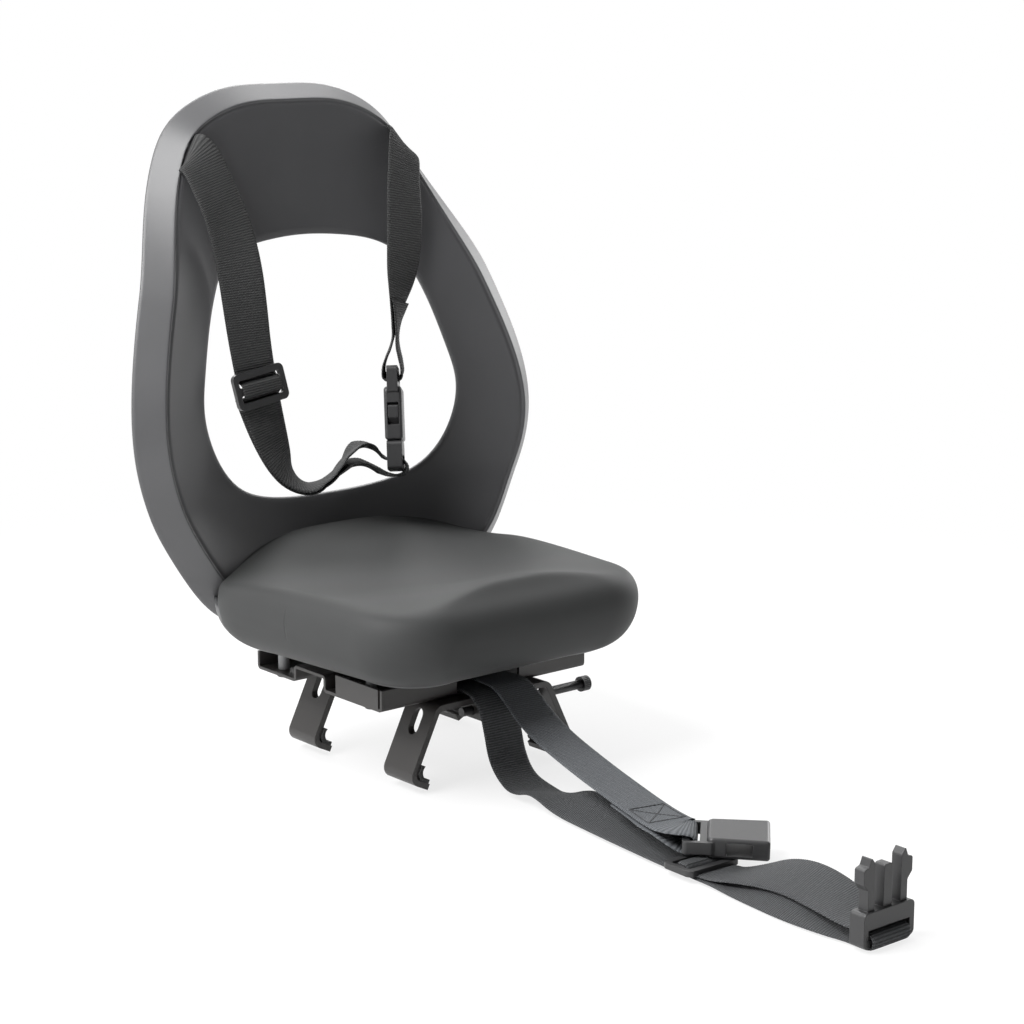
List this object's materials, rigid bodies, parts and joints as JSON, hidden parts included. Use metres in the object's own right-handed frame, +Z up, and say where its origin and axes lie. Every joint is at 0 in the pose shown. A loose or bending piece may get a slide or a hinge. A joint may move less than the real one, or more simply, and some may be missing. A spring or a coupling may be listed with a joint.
{
  "type": "rear child bicycle seat",
  "caption": "Child seat for a bicycle's rear rack: moulded back with a window, foam cushion, harness webbing with side-release buckles, and sliding hook clamps under a steel pan.",
  "frame": {"origin": "middle of the rack, in the plane of the folded pan's underside", "axes": "+X is the seat's left-hand side seen from the child, which is the viewer's right; the child faces -Y; +Z is up"},
  "size_m": [0.325, 0.5877, 0.4253],
  "materials": {
    "shell_plastic": "fine matte grain",
    "cushion_skin": "satin moulded skin",
    "coated_steel": "satin black coating",
    "black_fasteners": "black oxide",
    "spacer_steel": "zinc plated",
    "pad_rubber": "matte",
    "webbing": "ribbed weave",
    "grey_webbing": "ribbed weave",
    "buckle_plastic": "fine grain"
  },
  "bodies": {
    "seat": {"seat_shell": "shell_plastic", "seat_cushion": "cushion_skin", "mounting_pan": "coated_steel", "front_fixed_hook": "coated_steel", "rear_fixed_hook": "coated_steel", "pan_bolts": "black_fasteners", "bar_rivets": "black_fasteners", "guide_rivets": "black_fasteners", "clamp_screws": "black_fasteners", "clamp_nuts": "black_fasteners", "pan_spacers": "spacer_steel", "strap_stops": "spacer_steel", "front_left_pad": "pad_rubber", "rear_left_pad": "pad_rubber", "chest_strap_left": "webbing", "chest_strap_right": "webbing", "lap_strap_long": "webbing", "lap_strap_short": "grey_webbing", "chest_slider": "buckle_plastic", "chest_buckle_socket": "buckle_plastic", "chest_buckle_clip": "buckle_plastic", "lap_slider": "buckle_plastic", "lap_buckle_socket": "buckle_plastic", "lap_buckle_clip": "buckle_plastic"},
    "front_jaw": {"front_sliding_jaw": "coated_steel", "front_right_pad": "pad_rubber"},
    "rear_jaw": {"rear_sliding_jaw": "coated_steel", "rear_right_pad": "pad_rubber"}
  },
  "joints": [
    {"name": "front_jaw_slide", "type": "slide", "parent": "seat", "child": "front_jaw", "axis": [1, 0, 0], "range_m": [-0.0035, 0.015]},
    {"name": "rear_jaw_slide", "type": "slide", "parent": "seat", "child": "rear_jaw", "axis": [1, 0, 0], "range_m": [-0.0035, 0.015]}
  ]
}
